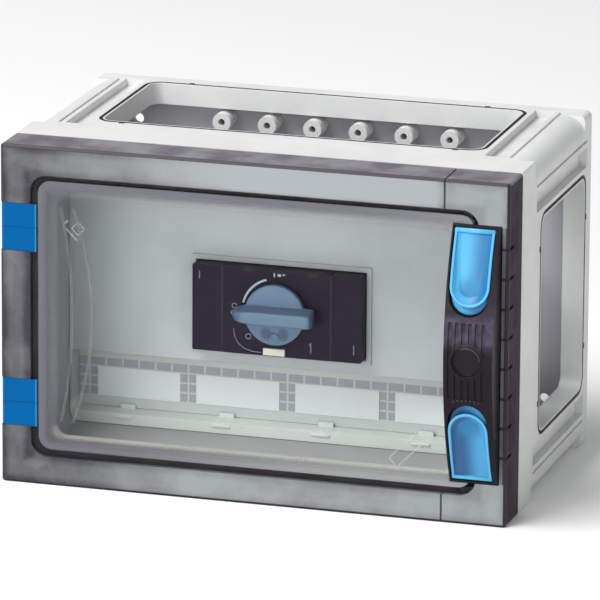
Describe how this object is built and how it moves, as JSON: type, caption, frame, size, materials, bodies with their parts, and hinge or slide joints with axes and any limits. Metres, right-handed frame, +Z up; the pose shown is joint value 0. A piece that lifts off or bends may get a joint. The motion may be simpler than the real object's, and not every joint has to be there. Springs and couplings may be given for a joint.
{
  "type": "enclosed rotary load-break switch",
  "caption": "Light grey modular enclosure with gasketed wall openings, a hinged smoky clear door and lever-locked bar, holding a rail-mounted rotary isolator behind a cover.",
  "frame": {"origin": "centre of the rear mounting face, on the wall plane", "axes": "+Y from the door into the wall, +X to the right seen from the front, +Z up"},
  "size_m": [0.27, 0.1785, 0.18],
  "materials": {
    "housing_grey": "satin",
    "cover_grey": "satin",
    "black_seal": "matt",
    "label_strip": "matt",
    "label_white": "matt",
    "switch_grey": "matt",
    "switch_dark": "matt",
    "contact_brass": "satin",
    "zinc_steel": "satin",
    "black_plastic": "satin",
    "smoky_clear": "clear",
    "clip_blue": "satin",
    "lever_blue": "satin",
    "knob_blue_grey": "satin",
    "tab_cream": "matt"
  },
  "bodies": {
    "enclosure": {"base_box": "housing_grey", "gasket_top": "black_seal", "gasket_bottom": "black_seal", "gasket_left": "black_seal", "gasket_right": "black_seal", "protective_cover": "cover_grey", "label_holder": "label_strip", "label_inserts": "label_white", "switch_housing": "switch_grey", "side_module_left": "switch_dark", "side_module_right": "switch_dark", "switch_front_plate": "switch_dark", "fixed_contacts": "contact_brass", "terminal_clamps": "zinc_steel", "terminal_screws": "zinc_steel", "din_rail": "zinc_steel", "rail_brackets": "zinc_steel", "rail_screws": "zinc_steel", "bracket_screws": "zinc_steel", "rail_clip": "black_plastic", "earth_bar": "contact_brass", "earth_bar_screws": "zinc_steel", "earth_clamp_screws": "zinc_steel"},
    "door": {"door_lid": "smoky_clear", "door_seal": "black_seal", "hinge_clip_upper": "clip_blue", "hinge_clip_lower": "clip_blue", "hinge_pins": "zinc_steel", "lock_bar": "black_plastic", "lock_plug": "black_plastic", "lever_pins": "zinc_steel"},
    "upper_lever": {"lever_upper": "lever_blue"},
    "lower_lever": {"lever_lower": "lever_blue"},
    "handle": {"handle_knob": "knob_blue_grey", "spindle": "zinc_steel"},
    "carriage": {"contact_carriage": "black_plastic", "moving_contacts": "contact_brass"},
    "padlock_tab": {"padlock_slide": "tab_cream"}
  },
  "joints": [
    {"name": "door_hinge", "type": "hinge", "parent": "enclosure", "child": "door", "pos_m": [-0.1315, -0.1495, 0], "axis": [0, 0, -1], "range_deg": [0, 120]},
    {"name": "upper_lever_hinge", "type": "hinge", "parent": "door", "child": "upper_lever", "pos_m": [0.1174, -0.16244, 0.0642], "axis": [-1, 0, 0], "range_deg": [0, 65]},
    {"name": "lower_lever_hinge", "type": "hinge", "parent": "door", "child": "lower_lever", "pos_m": [0.1174, -0.16244, -0.0642], "axis": [1, 0, 0], "range_deg": [0, 65]},
    {"name": "handle_turn", "type": "hinge", "parent": "enclosure", "child": "handle", "pos_m": [0, -0.12, 0], "axis": [0, 1, 0], "range_deg": [0, 90]},
    {"name": "contact_travel", "type": "slide", "parent": "enclosure", "child": "carriage", "axis": [0, 1, 0], "range_m": [0, 0.005]},
    {"name": "padlock_tab_slide", "type": "slide", "parent": "enclosure", "child": "padlock_tab", "axis": [0, -1, 0], "range_m": [0, 0.003]}
  ],
  "couplings": [
    {"joint": "contact_travel", "follows": "handle_turn", "m_per_rad": 0.003183}
  ]
}
